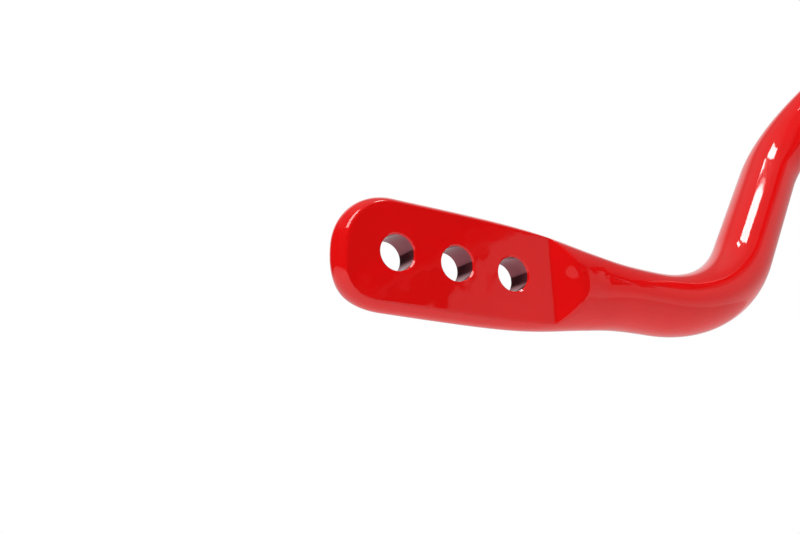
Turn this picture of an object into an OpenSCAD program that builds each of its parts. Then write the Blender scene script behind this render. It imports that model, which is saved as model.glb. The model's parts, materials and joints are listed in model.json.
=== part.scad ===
// Rear anti-roll (sway) bar with flattened, three-hole ends, in its chassis brackets.
// Millimetres. +X runs across the vehicle, the arms reach towards -Y, and +Z is up.
// The origin lies on the chassis face, in the middle of the four bracket bolts.
// The bar hangs below that face. Its left end is at -X, and the right end mirrors it.

/* [Bar] */
// Diameter of the round bar
bar_d = 25; // [18:0.5:30]
// Distance between the middle planes of the two flattened ends
end_span = 1040; // [800:10:1300]
// From the middle link hole to the start of the first bend
shank_l = 92; // [90:1:200]
// Angle of the first bend, from the shank to the riser
shank_bend = 55; // [20:1:80]
// Lean of the first bend towards the wheel
riser_lean = 13; // [0:1:25]
// Length of the straight riser between the bends
riser_l = 58; // [20:1:150]
// Centreline radius of every bend
bend_r = 75; // [45:1:120]

/* [Flattened ends] */
// Thickness of the flat
pad_t = 11; // [8:0.5:14]
// Width of the flat over its rounded sides
pad_w = 39.6; // [36:0.1:52]
// From the centre of the outer link hole to the tip
pad_tip = 22; // [19:0.5:40]
// Radius of the tip's upper corner, in plan
tip_r_upper = 19; // [6:0.5:19.5]
// Radius of the tip's lower corner, in plan
tip_r_lower = 12.5; // [6:0.5:19.5]
// From the centre of the inner link hole to the shoulder
shoulder_gap = 16.5; // [9:0.5:20]
// Length of the curved ramp from the flat to the full thickness
ramp_l = 17.5; // [10:0.5:24]
// From the centre of the inner link hole to where the taper starts
taper_start = 5; // [2:0.5:8]
// Width lost along the flat, before the taper starts
pad_narrowing = 1.8; // [0:0.1:2]
// Diameter of a link hole
link_hole_d = 12.5; // [8:0.1:14]
// Distance between neighbouring link holes
link_hole_pitch = 23; // [18:0.5:27.5]

/* [Bushes] */
// Distance between the middles of the two bushes
bush_span = 700; // [300:10:760]
// Wall of the bush round the bar
bush_wall = 9.5; // [6:0.5:14]
// From the bar's axis to the flat side of the bush
bush_seat_h = 22; // [18:0.5:34]
// Length of the bush between its two lips
bush_groove_l = 26; // [18:1:40]
// Thickness of each lip
bush_lip_t = 5; // [3:0.5:8]
// How far a lip stands out past the saddle
bush_lip_h = 1.5; // [0.5:0.5:4]
// Width of the grease groove in the bore
grease_groove_w = 4; // [3:0.5:8]
// Depth of the grease groove in the bore
grease_groove_depth = 1.2; // [0.5:0.1:2]
// Width of the slit that lets the bush open over the bar
bush_slit_w = 0.6; // [0.3:0.1:1.5]

/* [Brackets] */
// Thickness of the saddle's strap
saddle_t = 4; // [3:0.5:6]
// Inside radius of the strap where it turns out into a foot
saddle_knee_r = 3; // [2:0.5:6]
// Thickness of the base plate
plate_t = 5; // [4:0.5:8]
// How far the base plate stands out past the strap on each side
plate_margin = 4; // [0:0.5:4.5]
// Diameter of a bracket bolt hole
bolt_hole_d = 10.5; // [8.5:0.1:13]
// Diameter of the washer that has to seat on a foot
bolt_washer_d = 20; // [16:0.5:24]
// Corner radius of the feet and the base plate
foot_corner_r = 8; // [3:0.5:9]

/* [Grease nipples] */
// Thread diameter
nipple_thread_d = 6; // [5:0.5:8]
// Width across the flats of the hexagon
nipple_hex_af = 9; // [8:0.5:12]
// Height of the hexagon
nipple_hex_h = 4; // [3:0.5:6]
// Diameter of the ball-shaped head
nipple_head_d = 6.5; // [5.5:0.1:8]
// Length of the neck and head below the hexagon
nipple_head_l = 7.5; // [6:0.5:10]
// Diameter of the grease channel
nipple_bore_d = 2; // [1:0.1:2.5]
// Wall of the dust cap
cap_wall = 1.2; // [0.8:0.1:2]

/* [Stop collars] */
// Outside diameter of a collar
collar_d = 45; // [44:0.5:48]
// Width of a collar along the bar
collar_w = 15; // [13:0.5:20]
// Gap between the two halves of a collar
collar_split = 1; // [0.4:0.1:2]
// Diameter of a clamp screw
screw_d = 6; // [4:0.5:6]
// Height of the screw's head
screw_head_h = 6; // [4:0.5:6]
// Thickness of collar under the screw's head
screw_land = 6.5; // [5:0.5:7]
// Length of thread in the upper half
screw_thread_l = 7.5; // [6:0.5:10]

/* [Clearances] */
// Radial running clearance between the bar and the bush
bush_running_gap = 0.05; // [0.01:0.01:0.1]
// Side clearance between the saddle and each lip of the bush
saddle_side_gap = 0.3; // [0.1:0.1:1]
// Clearance between the saddle and the back of the bush
saddle_seat_gap = 0.05; // [0:0.01:0.2]
// Side clearance between a stop collar and the bush
collar_side_gap = 0.5; // [0.3:0.1:2]
// Radial clearance of a stop collar on the bar before it is clamped
collar_grip_gap = 0.02; // [0.01:0.01:0.1]
// Radial clearance between a thread and its hole
thread_gap = 0.02; // [0.01:0.01:0.1]
// Radial clearance round a clamp screw's plain hole and head
screw_gap = 0.3; // [0.1:0.1:0.5]

/* [Hidden] */

BAR_RED = "#c8141c";
POLYURETHANE = "#1d1e21";
ZINC = "#b9bcc0";
CAP_RED = "#8c1b1b";
ANODISED = "#9fa3a8";
BLACK_OXIDE = "#26262a";

$fn = 96;
HULL_FN = 32;
SLIVER = 0.01;
bar_r = bar_d / 2;
// Bending draws the bar down by a hair, and each straight runs on into its bend.
bend_draw = 0.02;
bend_overlap = 1;

// Bar axis below the chassis face.
axis_z = -(plate_t + bush_seat_h);

// Unit vectors of the arm, in the flat's own frame: x from the tip along the shank,
// y across the flat, and z through the link holes towards the middle of the vehicle.
bend_dir = [0, cos(riser_lean), -sin(riser_lean)];
bend_axis = [0, sin(riser_lean), cos(riser_lean)];
riser_dir = cos(shank_bend) * [1, 0, 0] + sin(shank_bend) * bend_dir;
riser_side = -sin(shank_bend) * [1, 0, 0] + cos(shank_bend) * bend_dir;
// The second bend turns the riser into the inboard direction.
corner_bend = acos(riser_dir.z);
corner_roll = atan2(bend_axis.z, riser_side.z);
corner_dir = ([0, 0, 1] - riser_dir.z * riser_dir) / sin(corner_bend);
arm_reach = (shank_l + bend_r * sin(shank_bend)) * [1, 0, 0]
          + bend_r * (1 - cos(shank_bend)) * bend_dir
          + (riser_l + bend_r * sin(corner_bend)) * riser_dir
          + bend_r * (1 - cos(corner_bend)) * corner_dir;
middle_l = end_span - 2 * arm_reach.z;

// Stations along the flattened end, from the middle link hole.
tip_x = -(link_hole_pitch + pad_tip);
shoulder_x = link_hole_pitch + shoulder_gap;
taper_x = link_hole_pitch + taper_start;
ramp_drop = (bar_d - pad_t) / 2;
ramp_r = (pow(ramp_l, 2) + pow(ramp_drop, 2)) / (2 * ramp_drop);
// The taper ends a little inside the round bar, just short of the first bend.
round_x = shank_l - 7;
round_step = 0.1;
round_overlap = 1;
pad_half_w = pad_w / 2;
tip_layers = 6;
// A corner can't be rounder than the flat is wide.
upper_corner_r = min(tip_r_upper, pad_half_w);
lower_corner_r = min(tip_r_lower, pad_half_w);

// How far the flat's bulged side falls back at height z from its middle plane.
function side_fall(z) = pad_half_w * (1 - sqrt(1 - pow(z / bar_r, 2)));

bush_r = bar_r + bush_wall;
bush_l = bush_groove_l + 2 * bush_lip_t;
strap_in_r = bush_r + saddle_seat_gap;
strap_out_r = strap_in_r + saddle_t;
strap_w = bush_groove_l - 2 * saddle_side_gap;
lip_r = strap_out_r + bush_lip_h;
knee_out_r = saddle_knee_r + saddle_t;
bolt_y = strap_in_r + knee_out_r + bolt_washer_d / 2;
foot_end_y = bolt_y + bolt_washer_d / 2;
strap_bottom_z = axis_z - strap_out_r;

nipple_thread_l = saddle_t + 2;
nipple_neck_d = nipple_head_d - 1.5;
nipple_cone_h = 1.5;
cap_gap = 0.1;

collar_x = bush_span / 2 - bush_l / 2 - collar_side_gap - collar_w / 2;
collar_bore_r = bar_r + collar_grip_gap;
screw_y = (collar_bore_r + collar_d / 2) / 2;
screw_head_d = 1.6 * screw_d;
screw_key_af = 0.8 * screw_d;
screw_key_depth = 0.5 * screw_head_h;
screw_end_gap = 0.5;

module both_sides() {
    children();
    mirror([1, 0, 0]) children();
}

module side(sign) {
    if (sign < 0) children();
    else mirror([1, 0, 0]) children();
}

// A rod that runs along +X from the origin.
module rod(r, l) {
    rotate([0, 90, 0]) cylinder(r = r, h = l);
}

// A straight of the bar along +X, run on into the bend at each end that has one.
module straight(l, overlap_start = bend_overlap) {
    translate([-overlap_start, 0, 0]) rod(bar_r, l + overlap_start + bend_overlap);
}

// A bend that leaves the origin along +X and turns towards +Y.
module bend(angle) {
    translate([0, bend_r, 0])
        rotate([0, 0, -90])
            rotate_extrude(angle = angle)
                translate([bend_r, 0]) circle(r = bar_r - bend_draw);
}

// Places its children where that bend ends.
module after_bend(angle) {
    translate([bend_r * sin(angle), bend_r * (1 - cos(angle)), 0])
        rotate([0, 0, angle]) children();
}

// One corner of the tip, with the bulged side that pressing gives it.
module tip_corner(corner_r, y) {
    heights = [for (i = [-tip_layers:tip_layers]) i * pad_t / 2 / tip_layers];
    translate([tip_x + corner_r, y, 0])
        rotate_extrude($fn = HULL_FN)
            polygon(concat([[0, -pad_t / 2]],
                           [for (z = heights) [corner_r - side_fall(z), z]],
                           [[0, pad_t / 2]]));
}

// A thin oval slice across the shank.
module shank_slice(x, half_w, half_h) {
    translate([x, 0, 0])
        rotate([90, 0, 90])
            linear_extrude(SLIVER) scale([half_w, half_h]) circle(r = 1, $fn = 2 * HULL_FN);
}

// Side view of the flattened end: the flat, its ramps, and the full thickness.
module end_profile() {
    ramp_end = shoulder_x + ramp_l;
    translate([tip_x - 1, -pad_t / 2]) square([shoulder_x - tip_x + 1 + SLIVER, pad_t]);
    intersection() {
        translate([ramp_end, bar_r - ramp_r]) circle(r = ramp_r);
        translate([ramp_end, ramp_r - bar_r]) circle(r = ramp_r);
        translate([shoulder_x, -bar_r]) square([ramp_l, bar_d]);
    }
    translate([ramp_end - SLIVER, -bar_r - 1]) square([shank_l - ramp_end, bar_d + 2]);
}

module link_holes() {
    for (i = [-1:1])
        translate([i * link_hole_pitch, 0, -pad_t])
            cylinder(d = link_hole_d, h = 2 * pad_t);
}

module flattened_end() {
    taper_half_w = pad_half_w - pad_narrowing / 2;
    slice_h = bar_r - round_step;
    difference() {
        intersection() {
            union() {
                hull() {
                    tip_corner(upper_corner_r, pad_half_w - upper_corner_r);
                    tip_corner(lower_corner_r, lower_corner_r - pad_half_w);
                    shank_slice(taper_x, taper_half_w, slice_h);
                }
                hull() {
                    shank_slice(taper_x, taper_half_w, slice_h);
                    shank_slice(round_x + round_overlap, slice_h - round_step, slice_h);
                }
            }
            rotate([90, 0, 0])
                translate([0, 0, -pad_w]) linear_extrude(2 * pad_w) end_profile();
        }
        link_holes();
    }
}

// The whole arm in the flat's own frame, up to the straight middle of the bar.
module arm() {
    flattened_end();
    translate([round_x, 0, 0]) straight(shank_l - round_x, 0);
    translate([shank_l, 0, 0])
        rotate([-riser_lean, 0, 0]) {
            bend(shank_bend);
            after_bend(shank_bend) {
                straight(riser_l);
                translate([riser_l, 0, 0])
                    rotate([corner_roll, 0, 0]) bend(corner_bend);
            }
        }
}

module bar() {
    color(BAR_RED) {
        both_sides()
            translate([-end_span / 2, -arm_reach.x, axis_z - arm_reach.y])
                rotate(120, [1, 1, 1]) arm();
        translate([-middle_l / 2, 0, axis_z]) straight(middle_l);
    }
}

// Places its children at the left bush, on the bar's axis.
module at_bush() {
    translate([-bush_span / 2, 0, axis_z]) children();
}

// A D-shaped slab across the bar: round below the axis, and square up to the seat.
module d_slab(r, l) {
    translate([-l / 2, 0, 0])
        rotate([90, 0, 90])
            linear_extrude(l)
                intersection() {
                    union() {
                        circle(r = r);
                        translate([-r, 0]) square([2 * r, bush_seat_h]);
                    }
                    translate([-2 * r, -2 * r]) square([4 * r, 2 * r + bush_seat_h]);
                }
}

module bush() {
    bore_r = bar_r + bush_running_gap;
    color(POLYURETHANE)
        at_bush()
            difference() {
                union() {
                    d_slab(bush_r, bush_l);
                    for (s = [-1, 1])
                        translate([s * (bush_l - bush_lip_t) / 2, 0, 0])
                            d_slab(lip_r, bush_lip_t);
                }
                translate([-bush_l, 0, 0]) rod(bore_r, 2 * bush_l);
                translate([-grease_groove_w / 2, 0, 0])
                    rod(bore_r + grease_groove_depth, grease_groove_w);
                translate([-bush_l, -2 * lip_r, -bush_slit_w / 2])
                    cube([2 * bush_l, 2 * lip_r, bush_slit_w]);
                translate([0, 0, -2 * bush_r])
                    cylinder(r = nipple_thread_d / 2 + thread_gap, h = 2 * bush_r);
            }
}

// Outline of the strap, seen along the bar with the bar's axis at the origin.
module strap_outline() {
    knee_z = bush_seat_h - knee_out_r;
    difference() {
        circle(r = strap_out_r);
        circle(r = strap_in_r);
        translate([-2 * strap_out_r, 0]) square([4 * strap_out_r, 2 * strap_out_r]);
    }
    for (m = [0, 1])
        mirror([m, 0]) {
            translate([strap_in_r, 0]) square([saddle_t, knee_z]);
            translate([strap_in_r + knee_out_r, knee_z])
                intersection() {
                    difference() {
                        circle(r = knee_out_r);
                        circle(r = saddle_knee_r);
                    }
                    translate([-knee_out_r, 0]) square(knee_out_r);
                }
            translate([strap_in_r + knee_out_r, bush_seat_h - saddle_t])
                square([foot_end_y - strap_in_r - knee_out_r, saddle_t]);
        }
}

// A rectangle with rounded corners, centred on the origin.
module rounded_plate(size_x, size_y, r, h) {
    linear_extrude(h) {
        square([size_x - 2 * r, size_y], center = true);
        square([size_x, size_y - 2 * r], center = true);
        for (sx = [-1, 1], sy = [-1, 1])
            translate([sx * (size_x / 2 - r), sy * (size_y / 2 - r)]) circle(r = r);
    }
}

module bolt_holes() {
    for (s = [-1, 1])
        translate([0, s * bolt_y, -bush_seat_h])
            cylinder(d = bolt_hole_d, h = 3 * bush_seat_h);
}

module saddle() {
    color(ZINC)
        at_bush()
            difference() {
                intersection() {
                    translate([-strap_w / 2, 0, 0])
                        rotate([90, 0, 90]) linear_extrude(strap_w) strap_outline();
                    translate([0, 0, -2 * strap_out_r])
                        rounded_plate(strap_w, 2 * foot_end_y, foot_corner_r, 4 * strap_out_r);
                }
                bolt_holes();
                translate([0, 0, -2 * strap_out_r])
                    cylinder(r = nipple_thread_d / 2 + thread_gap, h = 2 * strap_out_r);
            }
}

module base_plate() {
    plate_x = strap_w + 2 * plate_margin;
    color(ZINC)
        at_bush()
            difference() {
                translate([0, 0, bush_seat_h])
                    rounded_plate(plate_x, 2 * foot_end_y, foot_corner_r, plate_t);
                bolt_holes();
            }
}

// Places its children under the strap, with +Z pointing down and away from it.
module at_nipple() {
    translate([-bush_span / 2, 0, strap_bottom_z]) rotate([180, 0, 0]) children();
}

module grease_nipple() {
    head_z = nipple_hex_h + nipple_head_l - nipple_head_d / 2 - nipple_cone_h;
    color(ZINC)
        at_nipple()
            difference() {
                union() {
                    translate([0, 0, -nipple_thread_l])
                        cylinder(d = nipple_thread_d, h = nipple_thread_l + SLIVER);
                    cylinder(d = nipple_hex_af / cos(30), h = nipple_hex_h, $fn = 6);
                    cylinder(d = nipple_neck_d, h = nipple_hex_h + nipple_head_l - nipple_cone_h);
                    translate([0, 0, head_z]) sphere(d = nipple_head_d);
                }
                translate([0, 0, -2 * nipple_thread_l])
                    cylinder(d = nipple_bore_d, h = 4 * nipple_thread_l + nipple_head_l);
            }
}

module nipple_cap() {
    inner_r = nipple_head_d / 2 + cap_gap;
    cap_l = nipple_head_l + cap_wall;
    color(CAP_RED)
        at_nipple()
            translate([0, 0, nipple_hex_h + cap_gap])
                difference() {
                    union() {
                        cylinder(r = inner_r + cap_wall, h = cap_l);
                        cylinder(r = inner_r + 2 * cap_wall, h = cap_wall);
                    }
                    translate([0, 0, -1]) cylinder(r = inner_r, h = nipple_head_l + 1);
                }
}

// Places its children at the left stop collar, on the bar's axis.
module at_collar() {
    translate([-collar_x, 0, axis_z]) children();
}

module collar_ring() {
    translate([-collar_w / 2, 0, 0])
        difference() {
            rod(collar_d / 2, collar_w);
            translate([-1, 0, 0]) rod(collar_bore_r, collar_w + 2);
        }
}

module upper_collar() {
    thread_top = collar_split / 2 + screw_thread_l + screw_end_gap;
    color(ANODISED)
        at_collar()
            difference() {
                collar_ring();
                translate([-collar_w, -collar_d, collar_split / 2 - collar_d])
                    cube([2 * collar_w, 2 * collar_d, collar_d]);
                for (s = [-1, 1])
                    translate([0, s * screw_y, -SLIVER])
                        cylinder(r = screw_d / 2 + thread_gap, h = thread_top + SLIVER);
            }
}

module lower_collar() {
    land_z = -(collar_split / 2 + screw_land);
    color(ANODISED)
        at_collar()
            difference() {
                collar_ring();
                translate([-collar_w, -collar_d, -collar_split / 2])
                    cube([2 * collar_w, 2 * collar_d, collar_d]);
                for (s = [-1, 1])
                    translate([0, s * screw_y, 0]) {
                        translate([0, 0, -collar_d])
                            cylinder(r = screw_d / 2 + screw_gap, h = collar_d);
                        translate([0, 0, land_z - collar_d])
                            cylinder(r = screw_head_d / 2 + screw_gap, h = collar_d);
                    }
            }
}

module collar_screws() {
    land_z = -(collar_split / 2 + screw_land);
    color(BLACK_OXIDE)
        at_collar()
            for (s = [-1, 1])
                translate([0, s * screw_y, 0])
                    difference() {
                        union() {
                            translate([0, 0, land_z - screw_head_h])
                                cylinder(d = screw_head_d, h = screw_head_h);
                            translate([0, 0, land_z - SLIVER])
                                cylinder(d = screw_d,
                                         h = collar_split / 2 + screw_thread_l - land_z);
                        }
                        translate([0, 0, land_z - screw_head_h - 1])
                            cylinder(d = screw_key_af / cos(30), h = screw_key_depth + 1, $fn = 6);
                    }
}

bar();
side(-1) bush();  // bush_left
side(1) bush();  // bush_right
side(-1) saddle();  // saddle_left
side(1) saddle();  // saddle_right
side(-1) base_plate();  // base_plate_left
side(1) base_plate();  // base_plate_right
side(-1) grease_nipple();  // grease_nipple_left
side(1) grease_nipple();  // grease_nipple_right
side(-1) nipple_cap();  // nipple_cap_left
side(1) nipple_cap();  // nipple_cap_right
side(-1) upper_collar();  // stop_collar_left_upper
side(-1) lower_collar();  // stop_collar_left_lower
side(1) upper_collar();  // stop_collar_right_upper
side(1) lower_collar();  // stop_collar_right_lower
side(-1) collar_screws();  // collar_screws_left
side(1) collar_screws();  // collar_screws_right
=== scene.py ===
"""Looks of a powder-coated anti-roll bar in its greased chassis brackets.

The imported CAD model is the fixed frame. The bent bar is rebuilt here as one smooth
forging with pressed ends, and the brackets' parts are refined copies of their solids.
Everything is in metres in the part's own frame. Sizes of the part are given in
millimetres; the studio's are given in metres.
"""

from __future__ import annotations

import json
import logging
import math
from dataclasses import dataclass, field
from enum import Enum
from typing import Sequence

import bmesh
import bpy
import numpy as np
from mathutils import Matrix, Vector


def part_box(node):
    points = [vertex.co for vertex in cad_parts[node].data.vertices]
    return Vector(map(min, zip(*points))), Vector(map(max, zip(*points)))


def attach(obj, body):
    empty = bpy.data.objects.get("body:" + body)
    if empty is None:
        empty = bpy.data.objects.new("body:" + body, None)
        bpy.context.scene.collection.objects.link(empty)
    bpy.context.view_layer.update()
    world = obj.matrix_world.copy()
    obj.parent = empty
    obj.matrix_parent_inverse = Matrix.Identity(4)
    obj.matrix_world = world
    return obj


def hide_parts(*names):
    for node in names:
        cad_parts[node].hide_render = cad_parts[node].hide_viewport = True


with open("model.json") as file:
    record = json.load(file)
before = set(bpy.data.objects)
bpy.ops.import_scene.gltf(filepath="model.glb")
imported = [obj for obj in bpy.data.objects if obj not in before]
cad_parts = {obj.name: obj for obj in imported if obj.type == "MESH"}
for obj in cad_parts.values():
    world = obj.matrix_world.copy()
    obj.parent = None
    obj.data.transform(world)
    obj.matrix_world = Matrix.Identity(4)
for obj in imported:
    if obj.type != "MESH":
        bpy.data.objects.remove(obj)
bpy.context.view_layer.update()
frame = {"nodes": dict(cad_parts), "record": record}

MM = 0.001
LOG = logging.getLogger("sway_bar")


class Side(Enum):
    """The two ends of the vehicle-wide bar, with their sign along X."""

    LEFT = -1
    RIGHT = 1

    @property
    def label(self) -> str:
        """The word that node names use for this side.

        Returns:
            The side's name in small letters.
        """
        return self.name.lower()


class Body(Enum):
    """The two bodies that the swing joint separates."""

    BRACKETS = "bracket_set"
    BAR = "bar_set"


# ---------------------------------------------------------------- node trees


def linear(hex_colour: str) -> tuple[float, float, float, float]:
    """Turns an sRGB hex colour into the linear RGBA that shaders use.

    Args:
        hex_colour: a colour such as "#C8141C".

    Returns:
        Linear red, green, blue and an alpha of 1.
    """
    channels = [int(hex_colour[i:i + 2], 16) / 255 for i in (1, 3, 5)]
    light = [c / 12.92 if c <= 0.04045 else ((c + 0.055) / 1.055) ** 2.4 for c in channels]
    return (*light, 1.0)


def add_node(tree: bpy.types.NodeTree, kind: str, settings: dict | None = None,
             links: dict | None = None) -> bpy.types.Node:
    """Adds a node to a tree, sets it up and links its inputs.

    Args:
        tree: the shader, world or geometry tree.
        kind: the node's type name.
        settings: attribute names, or input names and numbers, with their values.
        links: input names or numbers, with the output sockets that feed them.

    Returns:
        The new node.
    """
    node = tree.nodes.new(kind)
    for key, value in (settings or {}).items():
        if isinstance(key, str) and hasattr(node, key):
            setattr(node, key, value)
        else:
            node.inputs[key].default_value = value
    for key, socket in (links or {}).items():
        tree.links.new(socket, node.inputs[key])
    return node


def new_material(name: str) -> tuple[bpy.types.Material, bpy.types.NodeTree]:
    """Makes an empty node material.

    Args:
        name: the finish, in a maker's words.

    Returns:
        The material and its node tree.
    """
    material = bpy.data.materials.new(name)
    material.use_nodes = True
    material.node_tree.nodes.clear()
    return material, material.node_tree


def per_mm(size_mm: float) -> float:
    """The texture scale of a pattern of this size.

    Args:
        size_mm: the size of one feature, in millimetres.

    Returns:
        Features a metre.
    """
    return 1.0 / (size_mm * MM)


# ---------------------------------------------------------------- finishes


@dataclass(frozen=True)
class PowderCoat:
    """Gloss polyester powder coat, baked on shot-blasted spring steel.

    The powder flows into a thick, even film: full gloss with a slight orange peel,
    over the long, low waves that pressing leaves in the flattened ends.
    """

    colour: str = "#E60F0F"
    shade: str = "#DE0C0D"
    roughness: float = 0.05
    ior: float = 1.5
    peel_mm: float = 2.2
    peel_height_mm: float = 0.004
    wave_mm: float = 10.0
    wave_height_mm: float = 0.14
    pressed_mm: float = 198.0
    round_mm: float = 150.0
    round_share: float = 0.2

    def material(self) -> bpy.types.Material:
        """Builds the powder coat, wavy on the pressed ends and calmer on the round bar.

        Returns:
            The material.
        """
        material, tree = new_material("gloss_powder_coat")
        where = add_node(tree, "ShaderNodeTexCoord").outputs["Object"]
        wave = add_node(tree, "ShaderNodeTexNoise",
                        {"Scale": per_mm(self.wave_mm), "Detail": 1.0}, {"Vector": where})
        peel = add_node(tree, "ShaderNodeTexNoise",
                        {"Scale": per_mm(self.peel_mm), "Detail": 1.0}, {"Vector": where})
        tint = add_node(tree, "ShaderNodeMix",
                        {"data_type": "RGBA", 6: linear(self.colour), 7: linear(self.shade)},
                        {0: wave.outputs["Fac"]})
        reach = add_node(tree, "ShaderNodeSeparateXYZ", None, {0: where}).outputs["Y"]
        pressed = add_node(tree, "ShaderNodeMapRange",
                           {"From Min": -self.pressed_mm * MM, "From Max": -self.round_mm * MM,
                            "To Min": 1.0, "To Max": self.round_share}, {"Value": reach})
        low = add_node(tree, "ShaderNodeBump", {"Distance": self.wave_height_mm * MM},
                       {"Height": wave.outputs["Fac"], "Strength": pressed.outputs[0]})
        fine = add_node(tree, "ShaderNodeBump",
                        {"Strength": 1.0, "Distance": self.peel_height_mm * MM},
                        {"Height": peel.outputs["Fac"], "Normal": low.outputs["Normal"]})
        shader = add_node(tree, "ShaderNodeBsdfPrincipled",
                          {"Roughness": self.roughness, "IOR": self.ior},
                          {"Base Color": tint.outputs[2], "Normal": fine.outputs["Normal"]})
        add_node(tree, "ShaderNodeOutputMaterial", None, {"Surface": shader.outputs[0]})
        return material


@dataclass(frozen=True)
class Metal:
    """A bare or plated metal whose grain comes from how it was worked.

    Stretched noise makes drawn or turned lines; a coarser noise breaks up the polish
    as handling, plating clouds or anodising do.
    """

    name: str
    colour: str
    shade: str
    roughness: float
    rough_spread: float
    grain_mm: tuple[float, float, float]
    grain_height_mm: float
    cloud_mm: float = 9.0
    metallic: float = 1.0

    def material(self) -> bpy.types.Material:
        """Builds the metal, with its grain and its clouds.

        Returns:
            The material.
        """
        material, tree = new_material(self.name)
        where = add_node(tree, "ShaderNodeTexCoord").outputs["Object"]
        stretch = add_node(tree, "ShaderNodeMapping",
                           {"Scale": [per_mm(size) for size in self.grain_mm]},
                           {"Vector": where})
        grain = add_node(tree, "ShaderNodeTexNoise", {"Scale": 1.0, "Detail": 2.0},
                         {"Vector": stretch.outputs[0]})
        cloud = add_node(tree, "ShaderNodeTexNoise",
                         {"Scale": per_mm(self.cloud_mm), "Detail": 3.0}, {"Vector": where})
        tint = add_node(tree, "ShaderNodeMix",
                        {"data_type": "RGBA", 6: linear(self.colour), 7: linear(self.shade)},
                        {0: cloud.outputs["Fac"]})
        rough = add_node(tree, "ShaderNodeMapRange",
                         {"To Min": self.roughness - self.rough_spread,
                          "To Max": self.roughness + self.rough_spread},
                         {"Value": grain.outputs["Fac"]})
        bump = add_node(tree, "ShaderNodeBump",
                        {"Strength": 1.0, "Distance": self.grain_height_mm * MM},
                        {"Height": grain.outputs["Fac"]})
        shader = add_node(tree, "ShaderNodeBsdfPrincipled", {"Metallic": self.metallic},
                          {"Base Color": tint.outputs[2], "Roughness": rough.outputs[0],
                           "Normal": bump.outputs["Normal"]})
        add_node(tree, "ShaderNodeOutputMaterial", None, {"Surface": shader.outputs[0]})
        return material


@dataclass(frozen=True)
class Moulding:
    """A moulded plastic or elastomer with the fine grain of its tool."""

    name: str
    colour: str
    shade: str
    roughness: float
    grain_mm: float
    grain_height_mm: float
    ior: float = 1.5
    cloud_mm: float = 14.0
    rough_spread: float = 0.06

    def material(self) -> bpy.types.Material:
        """Builds the moulding, with the grain of its tool.

        Returns:
            The material.
        """
        material, tree = new_material(self.name)
        where = add_node(tree, "ShaderNodeTexCoord").outputs["Object"]
        grain = add_node(tree, "ShaderNodeTexNoise",
                         {"Scale": per_mm(self.grain_mm), "Detail": 2.0}, {"Vector": where})
        cloud = add_node(tree, "ShaderNodeTexNoise",
                         {"Scale": per_mm(self.cloud_mm), "Detail": 2.0}, {"Vector": where})
        tint = add_node(tree, "ShaderNodeMix",
                        {"data_type": "RGBA", 6: linear(self.colour), 7: linear(self.shade)},
                        {0: cloud.outputs["Fac"]})
        rough = add_node(tree, "ShaderNodeMapRange",
                         {"To Min": self.roughness - self.rough_spread,
                          "To Max": self.roughness + self.rough_spread},
                         {"Value": cloud.outputs["Fac"]})
        bump = add_node(tree, "ShaderNodeBump",
                        {"Strength": 1.0, "Distance": self.grain_height_mm * MM},
                        {"Height": grain.outputs["Fac"]})
        shader = add_node(tree, "ShaderNodeBsdfPrincipled", {"IOR": self.ior},
                          {"Base Color": tint.outputs[2], "Roughness": rough.outputs[0],
                           "Normal": bump.outputs["Normal"]})
        add_node(tree, "ShaderNodeOutputMaterial", None, {"Surface": shader.outputs[0]})
        return material


# Spring steel in the drilled link holes, tinted red-mauve: a painted reflection of the red coat
# round the bores.
REAMED_STEEL = Metal("red_reflection_tinted_steel", "#9C525C", "#74303A", 0.14, 0.04,
                     (0.35, 6.0, 6.0), 0.004, metallic=0.7)
# Bright zinc plate on pressed strip: a cool grey with soft clouds and faint draw lines.
ZINC_PLATE = Metal("bright_zinc_plate", "#C9CCD0", "#A9AEB4", 0.30, 0.08,
                   (9.0, 1.2, 9.0), 0.003)
# The same plate on turned steel: rings round the nipple's axis.
TURNED_ZINC = Metal("turned_zinc_steel", "#C4BFB2", "#A39E92", 0.24, 0.05,
                    (6.0, 6.0, 0.3), 0.003)
# Clear-anodised, turned aluminium: pale, satin, with fine rings round the bar.
ANODISED = Metal("clear_anodised_aluminium", "#B9BCC1", "#A2A6AB", 0.34, 0.05,
                 (0.35, 7.0, 7.0), 0.003)
# Oiled black oxide on socket screws: near black, with a low steel sheen.
BLACK_OXIDE = Metal("oiled_black_oxide", "#2C2B2D", "#1C1B1D", 0.38, 0.06,
                    (3.0, 3.0, 0.4), 0.002)
# Cast polyurethane, graphite filled: black, satin, slightly waxy from its release agent.
POLYURETHANE = Moulding("graphite_polyurethane", "#1B1C1F", "#26272B", 0.46, 0.7, 0.012)
# Injection-moulded polyethylene dust cap: dull red, soft sheen.
CAP_PLASTIC = Moulding("polyethylene_cap", "#7E1414", "#6A0F10", 0.42, 0.5, 0.008)


# ---------------------------------------------------------------- mesh helpers


def link_object(name: str, mesh: bpy.types.Mesh) -> bpy.types.Object:
    """Puts a mesh in the scene as an object at the origin.

    Args:
        name: the object's name.
        mesh: its mesh, in place.

    Returns:
        The object.
    """
    piece = bpy.data.objects.new(name, mesh)
    bpy.context.scene.collection.objects.link(piece)
    return piece


def baked(piece: bpy.types.Object) -> bpy.types.Object:
    """Turns a piece with modifiers into a plain mesh and drops the modifiers.

    Args:
        piece: the object to bake.

    Returns:
        The same object.
    """
    graph = bpy.context.evaluated_depsgraph_get()
    mesh = bpy.data.meshes.new_from_object(piece.evaluated_get(graph))
    mesh.name = piece.name
    piece.modifiers.clear()
    piece.data = mesh
    return piece


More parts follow.
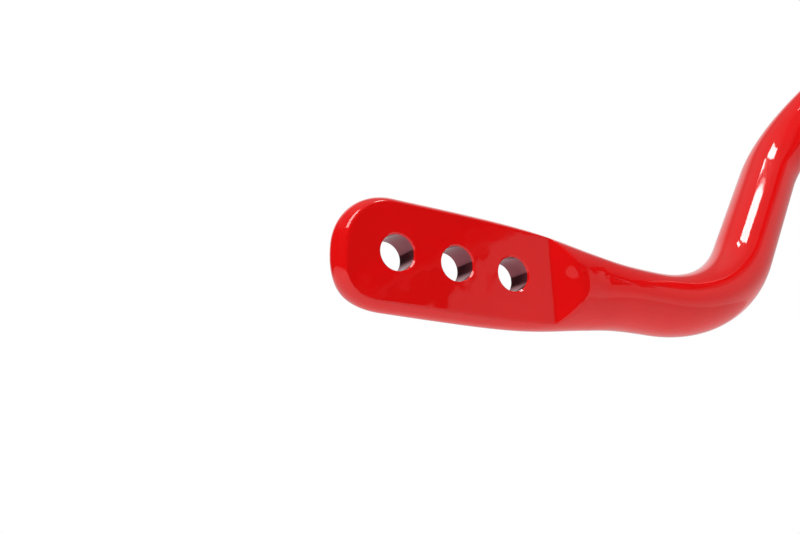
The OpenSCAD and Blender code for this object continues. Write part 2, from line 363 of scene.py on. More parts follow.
def shade(mesh: bpy.types.Mesh, crease_deg: float) -> None:
    """Shades a mesh smooth, with a crease wherever faces turn by more than an angle.

    Args:
        mesh: the mesh to shade.
        crease_deg: the angle, in degrees.
    """
    bm = bmesh.new()
    bm.from_mesh(mesh)
    limit = math.radians(crease_deg)
    for face in bm.faces:
        face.smooth = True
    for edge in bm.edges:
        edge.smooth = len(edge.link_faces) != 2 or edge.calc_face_angle(0.0) < limit
    bm.to_mesh(mesh)
    bm.free()


def smooth_step(low: float, high: float, value: np.ndarray) -> np.ndarray:
    """The usual cubic step.

    Args:
        low: where it leaves 0.
        high: where it reaches 1.
        value: the places to step at.

    Returns:
        The step's height at each place.
    """
    t = np.clip((value - low) / (high - low), 0.0, 1.0)
    return t * t * (3.0 - 2.0 * t)


def turned(vector: np.ndarray, axis: np.ndarray, angle: float) -> np.ndarray:
    """Turns a vector about an axis.

    Args:
        vector: the vector.
        axis: the axis, of unit length.
        angle: how far, in radians.

    Returns:
        The turned vector.
    """
    return (vector * math.cos(angle) + np.cross(axis, vector) * math.sin(angle)
            + axis * np.dot(axis, vector) * (1.0 - math.cos(angle)))


def mount(name: str) -> dict:
    """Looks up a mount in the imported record.

    Args:
        name: the mount's name.

    Returns:
        Its entry in the record.
    """
    return next(m for m in frame["record"]["mounts"] if m["name"] == name)


# ---------------------------------------------------------------- the bar


@dataclass
class FlattenedEnd:
    """Sections of the pressed end, in the flat's own frame (millimetres).

    x runs from the tip along the shank, y across the flat, z through the link holes,
    with the middle link hole at x = 0. Every section is an oval that two soft-edged
    dies clip to the thickness of the flat, so that its sides keep their bulge.
    """

    bar_r: float = 12.5
    half_w: float = 19.8
    half_t: float = 5.5
    tip_pole_x: float = -24.5
    tip_reach: float = 20.0
    tip_square_upper: float = 2.05
    tip_square_lower: float = 2.4
    side_inset: float = 1.25
    tip_inset: float = 1.65
    corner_inset: float = -0.75
    shoulder_x: float = 39.6
    shoulder_skew: float = 0.08
    ramp_lower: float = 24.0
    ramp_upper: float = 17.0
    ramp_skew: tuple[float, float] = (-3.0, 9.0)
    ramp_rise: tuple[float, float] = (0.5, 3.0)
    swell_x: float = 50.0
    swell_l: float = 11.7
    round_x: tuple[float, float] = (60.0, 92.0)
    flat_edge: float = 34.0
    ramp_edge: float = 5.0
    run_out: tuple[float, float] = (46.0, 80.0)

    def half_width(self, x: float) -> float:
        """Half the width at a station: the flat narrows into the round bar.

        Args:
            x: the station.

        Returns:
            Half the width.
        """
        swell = 1.0 / (1.0 + math.exp((x - self.swell_x) / self.swell_l))
        fade = 1.0 - float(smooth_step(*self.round_x, np.array(x)))
        return self.bar_r + (self.half_w - self.bar_r) * swell * fade

    def half_height(self, x: float, y: np.ndarray) -> np.ndarray:
        """Where the dies clip the section: the flat, then a ramp that eases out.

        Args:
            x: the station.
            y: positions across the section; the ramp is shorter on the upper side.

        Returns:
            Half the clipped thickness at each y.
        """
        length = self.ramp_lower + (self.ramp_upper - self.ramp_lower) * smooth_step(
            *self.ramp_skew, y)
        along = np.clip((x - self.shoulder_x + self.shoulder_skew * y) / length, 0.0, 1.0)
        fine = np.linspace(0.0, 1.0, 400)
        start, finish = self.ramp_rise
        rise = np.cumsum(fine ** start * (1.0 - fine) ** finish)
        height = self.bar_r * 1.02 - self.half_t
        return self.half_t + height * np.interp(along, fine, rise / rise[-1])

    def clipped(self, z: np.ndarray, half: np.ndarray | float, x: float) -> np.ndarray:
        """Presses heights down to a half thickness, with an edge that softens up the ramp.

        Args:
            z: heights of the whole section.
            half: half the thickness between the dies.
            x: the station.

        Returns:
            The pressed heights.
        """
        ramped = float(smooth_step(self.shoulder_x, self.swell_x + self.swell_l, np.array(x)))
        power = self.flat_edge + (self.ramp_edge - self.flat_edge) * ramped
        return z / (1.0 + np.abs(z / half) ** power) ** (1.0 / power)

    def inset(self, angle: np.ndarray, amount: float) -> np.ndarray:
        """Share of the half width that a section reaches at each angle round it.

        Args:
            angle: angles round the section, 0 at its side and a right angle on top.
            amount: how much further than an oval the rim leans in at the die's edge.

        Returns:
            1 at the side, falling to 0 over the middle of the flat.
        """
        edge = math.asin(self.half_t / self.bar_r)
        up = np.abs(np.arcsin(np.clip(np.sin(angle), -1.0, 1.0)))
        lean = 1.0 + (amount - 1.0) * (1.0 - smooth_step(edge, math.radians(80.0), up))
        across = np.abs(np.cos(angle))
        return (1.0 - (1.0 - across) * lean) * np.sign(np.cos(angle))

    def section(self, x: float, angle: np.ndarray) -> np.ndarray:
        """The closed section at a station.

        Args:
            x: the station.
            angle: angles round the section.

        Returns:
            Rows of y and z.
        """
        amount = 1.0 + (self.side_inset - 1.0) * (
            1.0 - float(smooth_step(20.0, 45.0, np.array(x))))
        y = self.half_width(x) * self.inset(angle, amount)
        whole = self.bar_r * np.sin(angle)
        z = self.clipped(whole, self.half_height(x, y), x)
        z += (whole - z) * float(smooth_step(*self.run_out, np.array(x)))
        return np.stack([y, z], axis=1)

    def tip_radius(self, turn: float) -> float:
        """Plan radius of the tip about its pole.

        Args:
            turn: plan angle, from 0 on the upper side to half a turn on the lower.

        Returns:
            The radius.
        """
        square = self.tip_square_upper if turn < math.pi / 2 else self.tip_square_lower
        reach = abs(math.sin(turn)) / self.tip_reach
        side = abs(math.cos(turn)) / self.half_width(self.tip_pole_x)
        return (reach ** square + side ** square) ** (-1.0 / square)

    def tip_section(self, turn: float, angle: np.ndarray) -> np.ndarray:
        """Half a section through the tip at a plan angle.

        Args:
            turn: the plan angle, as tip_radius takes it.
            angle: angles over the rim.

        Returns:
            Rows of x, y and z.
        """
        amount = self.side_inset + (self.tip_inset - self.side_inset) * math.sin(turn) ** 2
        if turn > math.pi / 2:
            amount += self.corner_inset * math.sin(2.0 * turn) ** 2
        out = self.tip_radius(turn) * np.abs(self.inset(angle, amount))
        z = self.clipped(self.bar_r * np.sin(angle), self.half_t, self.tip_pole_x)
        return np.stack([self.tip_pole_x - out * math.sin(turn), out * math.cos(turn), z], axis=1)


@dataclass
class SwayBar:
    """The one-piece bent bar: two pressed ends, two cranked arms and the middle."""

    end: FlattenedEnd = field(default_factory=FlattenedEnd)
    shank_l: float = 92.0
    shank_bend_deg: float = 55.0
    riser_lean_deg: float = 13.0
    riser_l: float = 58.0
    bend_r: float = 75.0
    round_points: int = 160
    tip_steps: int = 64
    hole_chamfer: float = 0.5
    hole_points: int = 96
    edge_crowding: float = 5.0
    edge_reach_deg: float = 4.0
    die_edge: tuple[float, float] = (38.0, 46.0)
    ramp_end: float = 62.0
    station_steps: tuple[float, ...] = (1.2, 0.3, 0.7, 1.5)
    bend_steps: tuple[float, float] = (3.0, 3.2)
    straight_steps: tuple[float, float] = (6.0, 24.0)
    weld: float = 0.002
    crease_deg: float = 30.0

    def ring_angles(self) -> np.ndarray:
        """Angles round every section, closest together where the dies' edges bear.

        Returns:
            Angles from 0 to a whole turn.
        """
        edge = math.asin(self.end.half_t / self.end.bar_r)
        fine = np.linspace(0.0, math.pi / 2, 2000)
        near = np.exp(-((fine - edge) / math.radians(self.edge_reach_deg)) ** 2)
        dense = np.cumsum(1.0 + self.edge_crowding * near)
        share = (dense - dense[0]) / (dense[-1] - dense[0])
        first = np.interp(np.linspace(0.0, 1.0, self.round_points // 4 + 1), share, fine)
        back = first[:0:-1]
        return np.concatenate([first[:-1], math.pi - back, math.pi + first[:-1],
                               2.0 * math.pi - back])

    def stations(self) -> list[float]:
        """Stations along the flattened end, closer where its shape turns faster.

        Returns:
            The stations, from the tip's pole to just before the shank's end.
        """
        ends = (self.end.tip_pole_x, *self.die_edge, self.ramp_end, self.shank_l)
        places: list[float] = []
        for low, high, step in zip(ends, ends[1:], self.station_steps):
            count = math.ceil((high - low) / step)
            places += [low + (high - low) * i / count for i in range(count)]
        return places

    def path(self) -> list[tuple[np.ndarray, np.ndarray, np.ndarray]]:
        """The bar's rings after the shank, round both bends to the middle of the vehicle.

        Returns:
            For each ring its centre and the two directions that span it.
        """
        along, side, up = np.eye(3)
        lean = math.radians(self.riser_lean_deg)
        spot = along * self.shank_l
        axis = np.array([0.0, math.sin(lean), math.cos(lean)])
        rings: list[tuple[np.ndarray, np.ndarray, np.ndarray]] = []

        def bend(total: float, step_mm: float) -> None:
            """Adds the rings of a bend.

            Args:
                total: the bend's angle, in radians.
                step_mm: the longest step along its centreline.
            """
            nonlocal spot, along, side, up
            count = math.ceil(total * self.bend_r / step_mm)
            centre = spot + np.cross(axis, along) * self.bend_r
            spoke = spot - centre
            first = (along, side, up)
            for i in range(count + 1):
                angle = total * i / count
                along, side, up = (turned(v, axis, angle) for v in first)
                spot = centre + turned(spoke, axis, angle)
                rings.append((spot, side, up))

        def straight(length: float, step_mm: float) -> None:
            """Moves along a straight, adding the rings between its two ends.

            Args:
                length: its length.
                step_mm: the longest step along it.
            """
            nonlocal spot
            count = math.ceil(length / step_mm)
            start = spot
            for i in range(1, count + 1):
                spot = start + along * (length * i / count)
                if i < count:
                    rings.append((spot, side, up))

        bend(math.radians(self.shank_bend_deg), self.bend_steps[0])
        straight(self.riser_l, self.straight_steps[0])
        inboard = np.array([0.0, 0.0, 1.0])
        axis = np.cross(along, inboard)
        axis /= np.linalg.norm(axis)
        bend(math.acos(float(np.dot(along, inboard))), self.bend_steps[1])
        half_span = abs(mount("link_hole_left_middle")["pos_m"][0]) / MM
        rest = half_span - spot[2]
        straight(rest, self.straight_steps[1])
        rings.append((spot, side, up))
        return rings

    def half_mesh(self) -> tuple[np.ndarray, list[tuple[int, ...]]]:
        """The left half of the bar, open at the middle of the vehicle.

        Returns:
            Vertices in the flat's frame, and faces as their indices.
        """
        n = self.round_points
        angle = self.ring_angles()
        rings = [np.column_stack([np.full(n, x), self.end.section(x, angle)])
                 for x in self.stations()]
        circle = self.end.bar_r * np.column_stack([np.cos(angle), np.sin(angle)])
        rings += [spot + circle[:, :1] * side + circle[:, 1:] * up
                  for spot, side, up in self.path()]
        points = [np.concatenate(rings)]
        faces: list[tuple[int, ...]] = []
        for j in range(len(rings) - 1):
            for i in range(n):
                k = (i + 1) % n
                faces.append((j * n + i, j * n + k, (j + 1) * n + k, (j + 1) * n + i))
        quarter = n // 4
        strips = [[(quarter - i) % n for i in range(2 * quarter + 1)]]
        base = len(points[0])
        over = np.concatenate([angle[quarter::-1], -angle[1:quarter + 1]])
        for step in range(1, self.tip_steps):
            points.append(self.end.tip_section(math.pi * step / self.tip_steps, over))
            strips.append([base + i for i in range(2 * quarter + 1)])
            base += 2 * quarter + 1
        strips.append([quarter + i for i in range(2 * quarter + 1)])
        for one, two in zip(strips, strips[1:]):
            for a, b, c, d in zip(one, one[1:], two[1:], two):
                faces.append((a, b, c, d))
        return np.concatenate(points), faces

    def hole_cutter(self) -> bpy.types.Object:
        """Six plugs that cut the link holes, flared where the rims are eased.

        Returns:
            The plugs, as one object.
        """
        bm = bmesh.new()
        for name in (m["name"] for m in frame["record"]["mounts"]):
            if not name.startswith("link_hole"):
                continue
            hole = mount(name)
            r = hole["dims"]["r_mm"]
            half = hole["dims"]["length_mm"] / 2
            ease = self.hole_chamfer
            profile = [(r, half - ease), (r + ease, half), (r + ease + 1.0, half + 1.0)]
            profile = [(a, -b) for a, b in reversed(profile)] + profile
            loops = []
            for radius, offset in profile:
                loops.append([bm.verts.new(Vector(hole["pos_m"]) + MM * Vector(
                    (offset, radius * math.cos(t), radius * math.sin(t))))
                    for t in np.linspace(0.0, 2.0 * math.pi, self.hole_points, endpoint=False)])
            for low, high in zip(loops, loops[1:]):
                for i in range(len(low)):
                    k = (i + 1) % len(low)
                    bm.faces.new((low[i], low[k], high[k], high[i]))
            bm.faces.new(loops[0])
            bm.faces.new(loops[-1])
        bmesh.ops.recalc_face_normals(bm, faces=bm.faces)
        mesh = bpy.data.meshes.new("hole_cutter")
        bm.to_mesh(mesh)
        bm.free()
        return link_object("hole_cutter", mesh)

    def build(self) -> bpy.types.Object:
        """Makes the whole bar, drilled, with its powder coat and bare bores.

        Returns:
            The bar.
        """
        points, faces = self.half_mesh()
        origin = np.array(mount("link_hole_left_middle")["pos_m"])
        # The flat's x, y and z are the vehicle's Y, Z and X.
        left = origin + points[:, [2, 0, 1]] * MM
        bm = bmesh.new()
        for sign in (1.0, -1.0):
            verts = [bm.verts.new((sign * p[0], p[1], p[2])) for p in left]
            for face in faces:
                corners = list(dict.fromkeys(verts[i] for i in face))
                bm.faces.new(corners if sign > 0 else corners[::-1])
        bmesh.ops.remove_doubles(bm, verts=bm.verts, dist=self.weld * MM)
        bmesh.ops.dissolve_degenerate(bm, edges=bm.edges, dist=self.weld / 2 * MM)
        bmesh.ops.recalc_face_normals(bm, faces=bm.faces)
        mesh = bpy.data.meshes.new("bar_forging")
        bm.to_mesh(mesh)
        bm.free()
        piece = link_object("bar_forging", mesh)
        cutter = self.hole_cutter()
        drill = piece.modifiers.new("link_holes", "BOOLEAN")
        drill.operation = "DIFFERENCE"
        drill.solver = "EXACT"
        drill.object = cutter
        baked(piece)
        bpy.data.objects.remove(cutter)
        self.dress(piece)
        shade(piece.data, self.crease_deg)
        return piece

    def dress(self, piece: bpy.types.Object) -> None:
        """Gives the bar its powder coat and leaves the reamed bores bare.

        Args:
            piece: the drilled bar.
        """
        mesh = piece.data
        mesh.materials.clear()
        mesh.materials.append(PowderCoat().material())
        # The bores' steel carries a red tint that is a painted reflection of the red coat.
        mesh.materials.append(REAMED_STEEL.material())
        holes = [m for m in frame["record"]["mounts"] if m["name"].startswith("link_hole")]
        for polygon in mesh.polygons:
            polygon.material_index = 0
            for hole in holes:
                away = polygon.center - Vector(hole["pos_m"])
                radius = math.hypot(away.y, away.z) / MM
                inside = abs(away.x) / MM < hole["dims"]["length_mm"] / 2 - self.hole_chamfer
                if inside and radius < hole["dims"]["r_mm"] + 0.1:
                    polygon.material_index = 1


# ---------------------------------------------------------------- the brackets


def refined(node: str, name: str, ease_mm: float, crease_deg: float = 32.0) -> bpy.types.Object:
    """A copy of a CAD solid with its triangles joined and its edges eased.

    Args:
        node: the CAD node to copy.
        name: the new piece's name.
        ease_mm: width of the rounded edge.
        crease_deg: faces that turn by more than this meet in an edge.

    Returns:
        The refined piece.
    """
    bm = bmesh.new()
    bm.from_mesh(frame["nodes"][node].data)
    bmesh.ops.remove_doubles(bm, verts=bm.verts, dist=0.002 * MM)
    bmesh.ops.dissolve_limit(bm, angle_limit=math.radians(0.4), verts=bm.verts, edges=bm.edges)
    mesh = bpy.data.meshes.new(name)
    bm.to_mesh(mesh)
    bm.free()
    mesh.materials.clear()
    piece = link_object(name, mesh)
    shade(mesh, crease_deg)
    ease = piece.modifiers.new("eased_edges", "BEVEL")
    ease.width = ease_mm * MM
    ease.segments = 3
    ease.limit_method = "ANGLE"
    ease.angle_limit = math.radians(crease_deg)
    ease.harden_normals = True
    return baked(piece)


@dataclass
class Bracket:
    """One chassis bracket: base plate, saddle, bush, grease nipple and dust cap."""

    side: Side
    pressed_ease: float = 0.5
    moulded_ease: float = 0.6
    turned_ease: float = 0.2

    def build(self, finishes: dict[str, bpy.types.Material]) -> list[bpy.types.Object]:
        """Builds the bracket's pieces, each on the bracket body.

        Args:
            finishes: materials by slot name.

        Returns:
            The pieces.
        """
        parts = [("base_plate", "blank", self.pressed_ease, "zinc_plate"),
                 ("saddle", "pressing", self.pressed_ease, "zinc_plate"),
                 ("bush", "moulding", self.moulded_ease, "polyurethane"),
                 ("grease_nipple", "turning", self.turned_ease, "nipple_steel"),
                 ("nipple_cap", "moulding", self.turned_ease, "cap_plastic")]
        pieces = []
        for part, made, ease, slot in parts:
            node = f"{part}_{self.side.label}"
            piece = refined(node, f"{node}_{made}", ease)
            piece.data.materials.append(finishes[slot])
            place(piece, Body.BRACKETS, node)
            pieces.append(piece)
        return pieces


@dataclass
class StopCollar:
    """One split collar, clamped on the bar beside a bush by two socket screws."""

    side: Side
    ease: float = 0.4
    head_ribs: int = 30
    rib_depth: float = 0.12
    head_r: float = 4.8
    head_h: float = 6.0
    shank_r: float = 3.0
    key_r: float = 2.77
    key_depth: float = 3.0

    def build(self, finishes: dict[str, bpy.types.Material]) -> list[bpy.types.Object]:
        """Builds the two halves and the pair of screws, on the bar's body.

        Args:
            finishes: materials by slot name.

        Returns:
            The pieces.
        """
        pieces = []
        for half in ("upper", "lower"):
            node = f"stop_collar_{self.side.label}_{half}"
            piece = refined(node, f"{node}_half", self.ease)
            piece.data.materials.append(finishes["collar_aluminium"])
            place(piece, Body.BAR, node)
            pieces.append(piece)
        node = f"collar_screws_{self.side.label}"
        screws = self.screw_pair(node, finishes["black_oxide"])
        place(screws, Body.BAR, node)
        return pieces + [screws]

    def screw_tree(self, material: bpy.types.Material) -> bpy.types.NodeTree:
        """The node tree of a row of socket screws, heads down, with knurled heads.

        Args:
            material: the screws' finish.

        Returns:
            The tree.
        """
        tree = bpy.data.node_groups.new("socket_screw_row", "GeometryNodeTree")
        sockets = {}
        for name, value in (("Head Radius", self.head_r), ("Head Height", self.head_h),
                            ("Rib Depth", self.rib_depth), ("Shank Radius", self.shank_r),
                            ("Key Radius", self.key_r), ("Key Depth", self.key_depth)):
            sockets[name] = value * MM
        sockets.update({"Shank Length": 0.0, "Spacing": 0.0})
        for name, value in sockets.items():
            item = tree.interface.new_socket(name, in_out="INPUT", socket_type="NodeSocketFloat")
            item.default_value = value
        ribs = tree.interface.new_socket("Head Ribs", in_out="INPUT", socket_type="NodeSocketInt")
        ribs.default_value = self.head_ribs
        tree.interface.new_socket("Screws", in_out="OUTPUT", socket_type="NodeSocketGeometry")
        given = add_node(tree, "NodeGroupInput").outputs
        inner = add_node(tree, "ShaderNodeMath", {"operation": "SUBTRACT"},
                         {0: given["Head Radius"], 1: given["Rib Depth"]})
        rim = add_node(tree, "GeometryNodeCurveStar", None,
                       {"Points": given["Head Ribs"], "Outer Radius": given["Head Radius"],
                        "Inner Radius": inner.outputs[0]})
        disc = add_node(tree, "GeometryNodeFillCurve", {"mode": "NGONS"},
                        {"Curve": rim.outputs["Curve"]})
        head = self.block(tree, disc.outputs[0], given["Head Height"])
        hexagon = add_node(tree, "GeometryNodeCurvePrimitiveCircle", {"Resolution": 6},
                           {"Radius": given["Key Radius"]})
        key_face = add_node(tree, "GeometryNodeFillCurve", {"mode": "NGONS"},
                            {"Curve": hexagon.outputs["Curve"]})
        key = self.block(tree, key_face.outputs[0], given["Key Depth"])
        below = add_node(tree, "ShaderNodeMath", {"operation": "MULTIPLY", 1: -0.01},
                         {0: given["Key Depth"]})
        drop = add_node(tree, "ShaderNodeCombineXYZ", None, {"Z": below.outputs[0]})
        key_low = add_node(tree, "GeometryNodeTransform", None,
                           {"Geometry": key, "Translation": drop.outputs[0]})
        cut = add_node(tree, "GeometryNodeMeshBoolean", {"operation": "DIFFERENCE"},
                       {"Mesh 1": head, "Mesh 2": key_low.outputs[0]})
        rod = add_node(tree, "GeometryNodeMeshCylinder", {"Vertices": 48},
                       {"Radius": given["Shank Radius"], "Depth": given["Shank Length"]})
        half = add_node(tree, "ShaderNodeMath", {"operation": "MULTIPLY", 1: 0.5},
                        {0: given["Shank Length"]})
        middle = add_node(tree, "ShaderNodeMath", {"operation": "ADD"},
                          {0: half.outputs[0], 1: given["Head Height"]})
        rise = add_node(tree, "ShaderNodeCombineXYZ", None, {"Z": middle.outputs[0]})
        shank = add_node(tree, "GeometryNodeTransform", None,
                         {"Geometry": rod.outputs["Mesh"], "Translation": rise.outputs[0]})
        screw = add_node(tree, "GeometryNodeJoinGeometry")
        tree.links.new(cut.outputs["Mesh"], screw.inputs[0])
        tree.links.new(shank.outputs[0], screw.inputs[0])
        start = add_node(tree, "ShaderNodeMath", {"operation": "MULTIPLY", 1: -0.5},
                         {0: given["Spacing"]})
        first = add_node(tree, "ShaderNodeCombineXYZ", None, {"Y": start.outputs[0]})
        step = add_node(tree, "ShaderNodeCombineXYZ", None, {"Y": given["Spacing"]})
        row = add_node(tree, "GeometryNodeMeshLine", {"Count": 2},
                       {"Start Location": first.outputs[0], "Offset": step.outputs[0]})
        copies = add_node(tree, "GeometryNodeInstanceOnPoints", None,
                          {"Points": row.outputs[0], "Instance": screw.outputs[0]})
        real = add_node(tree, "GeometryNodeRealizeInstances", None,
                        {"Geometry": copies.outputs[0]})
        finish = add_node(tree, "GeometryNodeSetMaterial", {"Material": material},
                          {"Geometry": real.outputs[0]})
        add_node(tree, "NodeGroupOutput", None, {0: finish.outputs[0]})
        return tree

    def block(self, tree: bpy.types.NodeTree, face: bpy.types.NodeSocket,
              height: bpy.types.NodeSocket) -> bpy.types.NodeSocket:
        """Raises a flat face into a closed block along +Z.

        Args:
            tree: the tree to add to.
            face: the flat face.
            height: how far it is raised.

        Returns:
            The block.
        """
        raised = add_node(tree, "GeometryNodeExtrudeMesh", {"Individual": False},
                          {"Mesh": face, "Offset Scale": height})
        under = add_node(tree, "GeometryNodeFlipFaces", None, {"Mesh": face})
        both = add_node(tree, "GeometryNodeJoinGeometry")
        tree.links.new(raised.outputs["Mesh"], both.inputs[0])
        tree.links.new(under.outputs[0], both.inputs[0])
        closed = add_node(tree, "GeometryNodeMergeByDistance", {"Distance": 0.01 * MM},
                          {"Geometry": both.outputs[0]})
        return closed.outputs[0]

    def screw_pair(self, node: str, material: bpy.types.Material) -> bpy.types.Object:
        """The collar's two screws, sized and placed from their CAD node.

        Args:
            node: the screws' CAD node.
            material: their finish.

        Returns:
            The two screws, as one piece.
        """
        low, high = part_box(node)
        piece = link_object(f"{node}_pair", bpy.data.meshes.new(f"{node}_pair"))
        tree = self.screw_tree(material)
        modifier = piece.modifiers.new("screws", "NODES")
        modifier.node_group = tree
        named = {item.name: item.identifier for item in tree.interface.items_tree}
        modifier[named["Shank Length"]] = high.z - low.z - self.head_h * MM
        modifier[named["Spacing"]] = high.y - low.y - 2.0 * self.head_r * MM
        baked(piece)
        middle = Vector(((low.x + high.x) / 2, (low.y + high.y) / 2, low.z))
        piece.data.transform(Matrix.Translation(middle))
        shade(piece.data, 25.0)
        return piece


def place(piece: bpy.types.Object, body: Body, node: str) -> None:
    """Puts a finished piece on its body, in place of its CAD node, and reports it.

    Args:
        piece: the piece.
        body: the body that it rides on.
        node: the CAD node that it stands for.
    """
    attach(piece, body.value)
    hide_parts(node)
    LOG.info("%s: %d faces on %s, for %s", piece.name, len(piece.data.polygons), body.value, node)


# ---------------------------------------------------------------- the studio


@dataclass(frozen=True)
class Studio:
    """Plain white room: pale floor, white sweep, dark camera side and soft lights."""

    floor_drop: float = 0.45
    floor_r: float = 5.0
    floor_glow: float = 0.78
    wall: float = 0.48
    ceiling: float = 0.42
    camera_side: float = 0.03
    fill: float = 0.92
    key_radiance: float = 15.0
    front_radiance: float = 8.0
    fill_radiance: float = 4.9
    near_radiance: float = 1.5
    riser_from_pad: tuple[float, float, float] = (0.0, 0.153, 0.047)
    riser_way: tuple[float, float, float] = (-0.57, 0.82, 0.04)
    key_way: tuple[float, float, float] = (0.208, 0.07, 0.976)
    front_way: tuple[float, float, float] = (0.28, -0.54, 0.794)
    fill_way: tuple[float, float, float] = (0.3, -0.85, 0.45)
    near_from_pad: tuple[float, float, float] = (0.30, 0.27, -0.06)
    key_distance: float = 1.3
    front_distance: float = 1.6
    fill_distance: float = 2.0

    def build(self) -> None:
        """Builds the floor, the surroundings and the lights."""
        self.floor()
        self.surroundings()
        self.lights()
        view = bpy.context.scene.view_settings
        view.view_transform = "Standard"
        view.look = "None"

    def floor(self) -> None:
        """A large round floor in matt white."""
        material, tree = new_material("matt_white_floor")
        where = add_node(tree, "ShaderNodeTexCoord").outputs["Object"]
        mottle = add_node(tree, "ShaderNodeTexNoise", {"Scale": 3.0, "Detail": 2.0},
                          {"Vector": where})
        tint = add_node(tree, "ShaderNodeMix",
                        {"data_type": "RGBA", 6: linear("#C4C4C4"), 7: linear("#BEBEBE")},
                        {0: mottle.outputs["Fac"]})
        shader = add_node(tree, "ShaderNodeBsdfPrincipled",
                          {"Roughness": 0.8, "Emission Strength": self.floor_glow},
                          {"Base Color": tint.outputs[2], "Emission Color": tint.outputs[2]})
        add_node(tree, "ShaderNodeOutputMaterial", None, {"Surface": shader.outputs[0]})
        bm = bmesh.new()
        bmesh.ops.create_circle(bm, cap_ends=True, segments=96, radius=self.floor_r,
                                matrix=Matrix.Translation((0.0, 0.0, -self.floor_drop)))
        mesh = bpy.data.meshes.new("studio_floor")
        bm.to_mesh(mesh)
        bm.free()
        mesh.materials.append(material)
        link_object("studio_floor", mesh)

    def surroundings(self) -> None:
        """The room by direction: white sweep behind, grey ceiling, dark camera side."""
        world = bpy.data.worlds.new("white_room")
        bpy.context.scene.world = world
        world.use_nodes = True
        tree = world.node_tree
        tree.nodes.clear()
        way = add_node(tree, "ShaderNodeTexCoord").outputs["Generated"]
        xyz = add_node(tree, "ShaderNodeSeparateXYZ", None, {0: way}).outputs

        def band(value: bpy.types.NodeSocket, low: float, high: float, start: float,
                 end: float) -> bpy.types.NodeSocket:
            """A smooth step of brightness across part of the room.

            Args:
                value: the direction's component to step along.
                low: where the step starts.
                high: where it ends.
                start: brightness before it.
                end: brightness after it.

            Returns:
                The brightness.
            """
            node = add_node(tree, "ShaderNodeMapRange",
                            {"interpolation_type": "SMOOTHSTEP", "From Min": low,
                             "From Max": high, "To Min": start, "To Max": end},
                            {"Value": value})
            return node.outputs[0]

        def maths(operation: str, one: object, two: object) -> bpy.types.NodeSocket:
            """One sum of two values.

            Args:
                operation: the sum, as the maths node names it.
                one: a number or a socket.
                two: a number or a socket.

            Returns:
                The result.
            """
            settings = {"operation": operation}
            links = {}
            for i, value in enumerate((one, two)):
                (settings if isinstance(value, float) else links)[i] = value
            return add_node(tree, "ShaderNodeMath", settings, links).outputs[0]

        # The sweep starts a little to the right of what the flat faces mirror.
        right = maths("SUBTRACT", xyz["Y"], maths("MULTIPLY", xyz["X"], 0.70))
        right = maths("SUBTRACT", right, maths("MULTIPLY", xyz["Z"], 1.04))
        sweep = maths("MULTIPLY", band(right, -0.34, -0.32, 0.0, 1.0),
                      band(xyz["Z"], 0.57, 0.64, 1.0, 0.0))
        sweep = maths("MULTIPLY", sweep, band(xyz["Z"], -0.05, 0.28, 0.9, self.wall))
        sweep = maths("MULTIPLY", sweep, band(xyz["Y"], 0.0, 0.2, 0.0, 1.0))
        behind = maths("MULTIPLY", band(xyz["X"], -0.55, -0.25, 0.9, 0.0),
                       band(xyz["Z"], 0.70, 0.92, 1.0, 0.0))
        behind = maths("MULTIPLY", behind, band(xyz["Y"], -0.40, -0.10, 0.0, 1.0))
        overhead = band(xyz["Z"], 0.70, 0.97, 0.0, self.ceiling)
        front = band(xyz["Z"], 0.50, 0.70, self.camera_side, 0.24)
        upper = maths("MAXIMUM", front, overhead)
        room = maths("MAXIMUM", maths("MAXIMUM", sweep, behind), upper)
        path = add_node(tree, "ShaderNodeLightPath").outputs
        soft = maths("SUBTRACT", 1.0, maths("MULTIPLY", path["Is Diffuse Ray"], 1.0 - self.fill))
        strength = maths("MAXIMUM", maths("MULTIPLY", room, soft), path["Is Camera Ray"])
        light = add_node(tree, "ShaderNodeBackground", {"Color": (1.0, 1.0, 1.0, 1.0)},
                         {"Strength": strength})
        add_node(tree, "ShaderNodeOutputWorld", None, {"Surface": light.outputs[0]})

    def lights(self) -> None:
        """Softboxes over the riser and before the tip, with a fill unseen in the gloss."""
        pad = Vector(mount("link_hole_left_middle")["pos_m"])
        riser = pad + Vector(self.riser_from_pad)
        key = Vector(self.key_way).normalized()
        along = Vector(self.riser_way)
        across = key.cross(along)
        over = riser + key * self.key_distance
        up = Vector((0.0, 0.0, 1.0))
        self.softbox("key_softbox", over - along * 0.03, riser, along, (0.20, 0.40),
                     self.key_radiance)
        self.softbox("end_softbox", over + along * 0.15 + across * 0.16, riser, along,
                     (0.06, 0.20), self.key_radiance)
        self.softbox("front_softbox", pad + Vector(self.front_way) * self.front_distance, pad,
                     up, (0.9, 0.3), self.front_radiance)
        fill = self.softbox("broad_fill", pad + Vector(self.fill_way) * self.fill_distance,
                            pad, up, (1.2, 1.2), self.fill_radiance)
        near = self.softbox("near_fill", pad + Vector(self.near_from_pad),
                            pad + Vector((0.0, 0.08, 0.0)), up, (0.2, 0.2), self.near_radiance)
        for light in (fill, near):
            light.visible_glossy = False

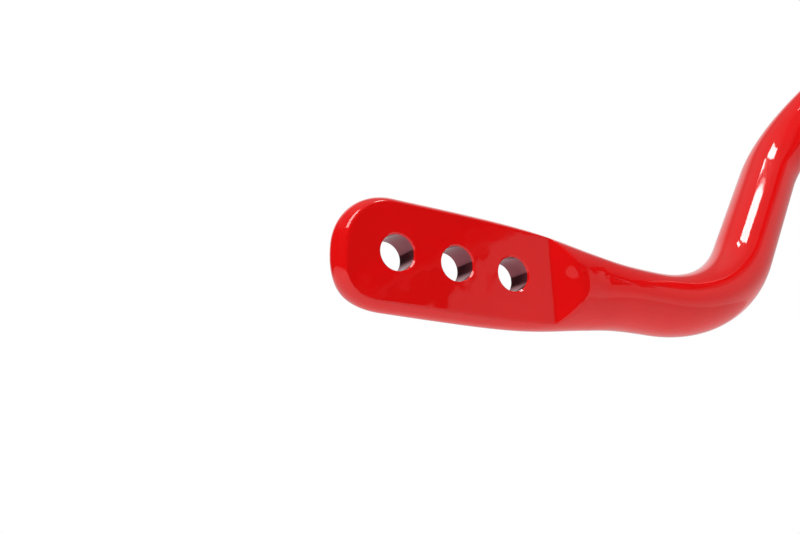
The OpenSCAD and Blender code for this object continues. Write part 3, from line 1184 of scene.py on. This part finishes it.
    def softbox(self, name: str, place_at: Vector, aim: Vector, along: Vector,
                size: tuple[float, float], radiance: float) -> bpy.types.Object:
        """Adds a rectangular softbox.

        Args:
            name: the light's name.
            place_at: where its middle stands.
            aim: the point it faces.
            along: the way its first side runs, roughly.
            size: its two sides in metres.
            radiance: how bright its face looks.

        Returns:
            The light.
        """
        data = bpy.data.lights.new(name, "AREA")
        data.shape = "RECTANGLE"
        data.size, data.size_y = size
        data.energy = radiance * math.pi * size[0] * size[1]
        light = bpy.data.objects.new(name, data)
        away = (place_at - aim).normalized()
        across = away.cross(along).normalized()
        axes = Matrix((across.cross(away), across, away)).transposed().to_4x4()
        light.matrix_world = Matrix.Translation(place_at) @ axes
        light.visible_camera = False
        bpy.context.scene.collection.objects.link(light)
        return light


@dataclass(frozen=True)
class CloseUpCamera:
    """Camera close to the left flattened end, looking along and up the arm.

    Its place and axes are in the flat's frame, from the middle link hole.
    """

    place_mm: tuple[float, float, float] = (-147.9, -81.9, 248.4)
    ahead: tuple[float, float, float] = (0.443, 0.271, -0.855)
    down: tuple[float, float, float] = (0.158, -0.962, -0.223)
    lens_mm: float = 39.16

    def build(self) -> None:
        """Creates the camera and makes it the scene's own."""

        def vehicle(v: Sequence[float]) -> Vector:
            """Turns a vector from the flat's frame into the vehicle's.

            Args:
                v: x, y and z in the flat's frame.

            Returns:
                The same vector along the vehicle's axes.
            """
            return Vector((v[2], v[0], v[1]))

        back = -vehicle(self.ahead).normalized()
        right = (-vehicle(self.down)).cross(back).normalized()
        up = back.cross(right)
        data = bpy.data.cameras.new("close_up")
        data.lens = self.lens_mm
        data.sensor_width = 36.0
        camera = bpy.data.objects.new("close_up", data)
        rotation = Matrix((right, up, back)).transposed().to_4x4()
        spot = Vector(mount("link_hole_left_middle")["pos_m"]) + MM * vehicle(self.place_mm)
        camera.matrix_world = Matrix.Translation(spot) @ rotation
        bpy.context.scene.collection.objects.link(camera)
        bpy.context.scene.camera = camera


def main() -> None:
    """Builds every piece in order."""
    logging.basicConfig(level=logging.INFO, format="%(name)s: %(message)s")
    CloseUpCamera().build()
    Studio().build()
    finishes = {"zinc_plate": ZINC_PLATE.material(), "nipple_steel": TURNED_ZINC.material(),
                "polyurethane": POLYURETHANE.material(), "cap_plastic": CAP_PLASTIC.material(),
                "collar_aluminium": ANODISED.material(), "black_oxide": BLACK_OXIDE.material()}
    place(SwayBar().build(), Body.BAR, "bar")
    for side in Side:
        Bracket(side).build(finishes)
        StopCollar(side).build(finishes)


if __name__ == "__main__":
    main()
